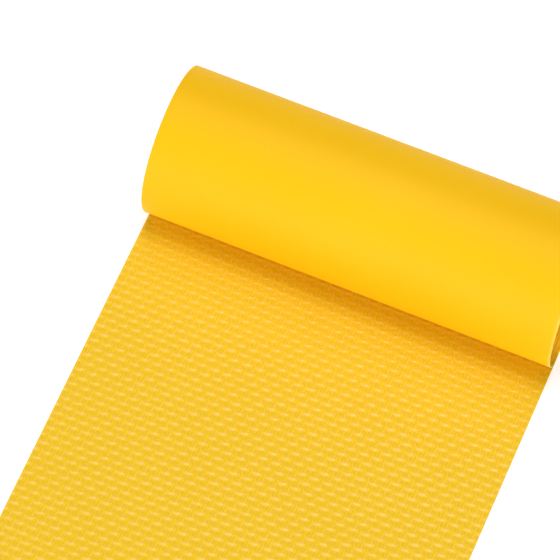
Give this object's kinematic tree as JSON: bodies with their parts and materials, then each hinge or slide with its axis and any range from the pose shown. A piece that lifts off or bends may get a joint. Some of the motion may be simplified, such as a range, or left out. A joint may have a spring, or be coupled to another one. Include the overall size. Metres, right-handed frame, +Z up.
{
  "type": "welding curtain fabric",
  "caption": "Length of embossed coated fabric for welding screens, flat at one end and curled into a loose roll at the other; the curl opens out flat.",
  "frame": {"origin": "under the middle of the whole piece, on the plane that it rests on", "axes": "X across the sheet and along the curl; +Y along the sheet, towards the curled end; +Z up"},
  "size_m": [0.2, 0.3012, 0.0624],
  "materials": {
    "embossed_face_film": "plasticised PVC film with an embossed basket weave, satin",
    "woven_base_cloth": "plain woven polyester yarn, seen only along the cut edges",
    "smooth_back_film": "smooth plasticised PVC film, low gloss"
  },
  "bodies": {
    "flat_run": {"flat_run_face_film": "embossed_face_film", "flat_run_base_cloth": "woven_base_cloth", "flat_run_back_film": "smooth_back_film"},
    "curl_01": {"curl_01_face_film": "embossed_face_film", "curl_01_base_cloth": "woven_base_cloth", "curl_01_back_film": "smooth_back_film"},
    "curl_02": {"curl_02_face_film": "embossed_face_film", "curl_02_base_cloth": "woven_base_cloth", "curl_02_back_film": "smooth_back_film"},
    "curl_03": {"curl_03_face_film": "embossed_face_film", "curl_03_base_cloth": "woven_base_cloth", "curl_03_back_film": "smooth_back_film"},
    "curl_04": {"curl_04_face_film": "embossed_face_film", "curl_04_base_cloth": "woven_base_cloth", "curl_04_back_film": "smooth_back_film"},
    "curl_05": {"curl_05_face_film": "embossed_face_film", "curl_05_base_cloth": "woven_base_cloth", "curl_05_back_film": "smooth_back_film"},
    "curl_06": {"curl_06_face_film": "embossed_face_film", "curl_06_base_cloth": "woven_base_cloth", "curl_06_back_film": "smooth_back_film"},
    "curl_07": {"curl_07_face_film": "embossed_face_film", "curl_07_base_cloth": "woven_base_cloth", "curl_07_back_film": "smooth_back_film"},
    "curl_08": {"curl_08_face_film": "embossed_face_film", "curl_08_base_cloth": "woven_base_cloth", "curl_08_back_film": "smooth_back_film"},
    "curl_09": {"curl_09_face_film": "embossed_face_film", "curl_09_base_cloth": "woven_base_cloth", "curl_09_back_film": "smooth_back_film"},
    "curl_10": {"curl_10_face_film": "embossed_face_film", "curl_10_base_cloth": "woven_base_cloth", "curl_10_back_film": "smooth_back_film"},
    "curl_11": {"curl_11_face_film": "embossed_face_film", "curl_11_base_cloth": "woven_base_cloth", "curl_11_back_film": "smooth_back_film"},
    "curl_12": {"curl_12_face_film": "embossed_face_film", "curl_12_base_cloth": "woven_base_cloth", "curl_12_back_film": "smooth_back_film"},
    "curl_13": {"curl_13_face_film": "embossed_face_film", "curl_13_base_cloth": "woven_base_cloth", "curl_13_back_film": "smooth_back_film"},
    "curl_14": {"curl_14_face_film": "embossed_face_film", "curl_14_base_cloth": "woven_base_cloth", "curl_14_back_film": "smooth_back_film"},
    "curl_15": {"curl_15_face_film": "embossed_face_film", "curl_15_base_cloth": "woven_base_cloth", "curl_15_back_film": "smooth_back_film"},
    "curl_16": {"curl_16_face_film": "embossed_face_film", "curl_16_base_cloth": "woven_base_cloth", "curl_16_back_film": "smooth_back_film"},
    "curl_17": {"curl_17_face_film": "embossed_face_film", "curl_17_base_cloth": "woven_base_cloth", "curl_17_back_film": "smooth_back_film"},
    "tucked_end": {"tucked_end_face_film": "embossed_face_film", "tucked_end_base_cloth": "woven_base_cloth", "tucked_end_back_film": "smooth_back_film"}
  },
  "joints": [
    {"name": "unroll_01", "type": "hinge", "parent": "flat_run", "child": "curl_01", "pos_m": [0, 0.1194, 0.0006], "axis": [-1, 0, 0], "range_deg": [0, 10.39]},
    {"name": "unroll_02", "type": "hinge", "parent": "curl_01", "child": "curl_02", "pos_m": [0, 0.13026, 0.00259], "axis": [-1, 0, 0], "range_deg": [0, 20.78]},
    {"name": "unroll_03", "type": "hinge", "parent": "curl_02", "child": "curl_03", "pos_m": [0, 0.1397, 0.0083], "axis": [-1, 0, 0], "range_deg": [0, 20.78]},
    {"name": "unroll_04", "type": "hinge", "parent": "curl_03", "child": "curl_04", "pos_m": [0, 0.1465, 0.01699], "axis": [-1, 0, 0], "range_deg": [0, 20.78]},
    {"name": "unroll_05", "type": "hinge", "parent": "curl_04", "child": "curl_05", "pos_m": [0, 0.14978, 0.02753], "axis": [-1, 0, 0], "range_deg": [0, 20.78]},
    {"name": "unroll_06", "type": "hinge", "parent": "curl_05", "child": "curl_06", "pos_m": [0, 0.14911, 0.03855], "axis": [-1, 0, 0], "range_deg": [0, 20.78]},
    {"name": "unroll_07", "type": "hinge", "parent": "curl_06", "child": "curl_07", "pos_m": [0, 0.14457, 0.04861], "axis": [-1, 0, 0], "range_deg": [0, 20.78]},
    {"name": "unroll_08", "type": "hinge", "parent": "curl_07", "child": "curl_08", "pos_m": [0, 0.13676, 0.0564], "axis": [-1, 0, 0], "range_deg": [0, 20.78]},
    {"name": "unroll_09", "type": "hinge", "parent": "curl_08", "child": "curl_09", "pos_m": [0, 0.12669, 0.06092], "axis": [-1, 0, 0], "range_deg": [0, 20.78]},
    {"name": "unroll_10", "type": "hinge", "parent": "curl_09", "child": "curl_10", "pos_m": [0, 0.11567, 0.06157], "axis": [-1, 0, 0], "range_deg": [0, 20.13]},
    {"name": "unroll_11", "type": "hinge", "parent": "curl_10", "child": "curl_11", "pos_m": [0, 0.10352, 0.05792], "axis": [-1, 0, 0], "range_deg": [0, 19.48]},
    {"name": "unroll_12", "type": "hinge", "parent": "curl_11", "child": "curl_12", "pos_m": [0, 0.09328, 0.05042], "axis": [-1, 0, 0], "range_deg": [0, 19.48]},
    {"name": "unroll_13", "type": "hinge", "parent": "curl_12", "child": "curl_13", "pos_m": [0, 0.08613, 0.03994], "axis": [-1, 0, 0], "range_deg": [0, 19.48]},
    {"name": "unroll_14", "type": "hinge", "parent": "curl_13", "child": "curl_14", "pos_m": [0, 0.08289, 0.02767], "axis": [-1, 0, 0], "range_deg": [0, 19.48]},
    {"name": "unroll_15", "type": "hinge", "parent": "curl_14", "child": "curl_15", "pos_m": [0, 0.08392, 0.01503], "axis": [-1, 0, 0], "range_deg": [0, 19.48]},
    {"name": "unroll_16", "type": "hinge", "parent": "curl_15", "child": "curl_16", "pos_m": [0, 0.08911, 0.00345], "axis": [-1, 0, 0], "range_deg": [0, 23.77]},
    {"name": "unroll_17", "type": "hinge", "parent": "curl_16", "child": "curl_17", "pos_m": [0, 0.09069, 0.00202], "axis": [-1, 0, 0], "range_deg": [0, 28.06]},
    {"name": "unroll_18", "type": "hinge", "parent": "curl_17", "child": "tucked_end", "pos_m": [0, 0.09276, 0.0015], "axis": [-1, 0, 0], "range_deg": [0, 14.03]}
  ],
  "couplings": [
    {"joint": "unroll_02", "follows": "unroll_01", "ratio": 2},
    {"joint": "unroll_03", "follows": "unroll_01", "ratio": 2},
    {"joint": "unroll_04", "follows": "unroll_01", "ratio": 2},
    {"joint": "unroll_05", "follows": "unroll_01", "ratio": 2},
    {"joint": "unroll_06", "follows": "unroll_01", "ratio": 2},
    {"joint": "unroll_07", "follows": "unroll_01", "ratio": 2},
    {"joint": "unroll_08", "follows": "unroll_01", "ratio": 2},
    {"joint": "unroll_09", "follows": "unroll_01", "ratio": 2},
    {"joint": "unroll_10", "follows": "unroll_01", "ratio": 1.9375},
    {"joint": "unroll_11", "follows": "unroll_01", "ratio": 1.8751},
    {"joint": "unroll_12", "follows": "unroll_01", "ratio": 1.8751},
    {"joint": "unroll_13", "follows": "unroll_01", "ratio": 1.8751},
    {"joint": "unroll_14", "follows": "unroll_01", "ratio": 1.8751},
    {"joint": "unroll_15", "follows": "unroll_01", "ratio": 1.8751},
    {"joint": "unroll_16", "follows": "unroll_01", "ratio": 2.288},
    {"joint": "unroll_17", "follows": "unroll_01", "ratio": 2.701},
    {"joint": "unroll_18", "follows": "unroll_01", "ratio": 1.3505}
  ]
}
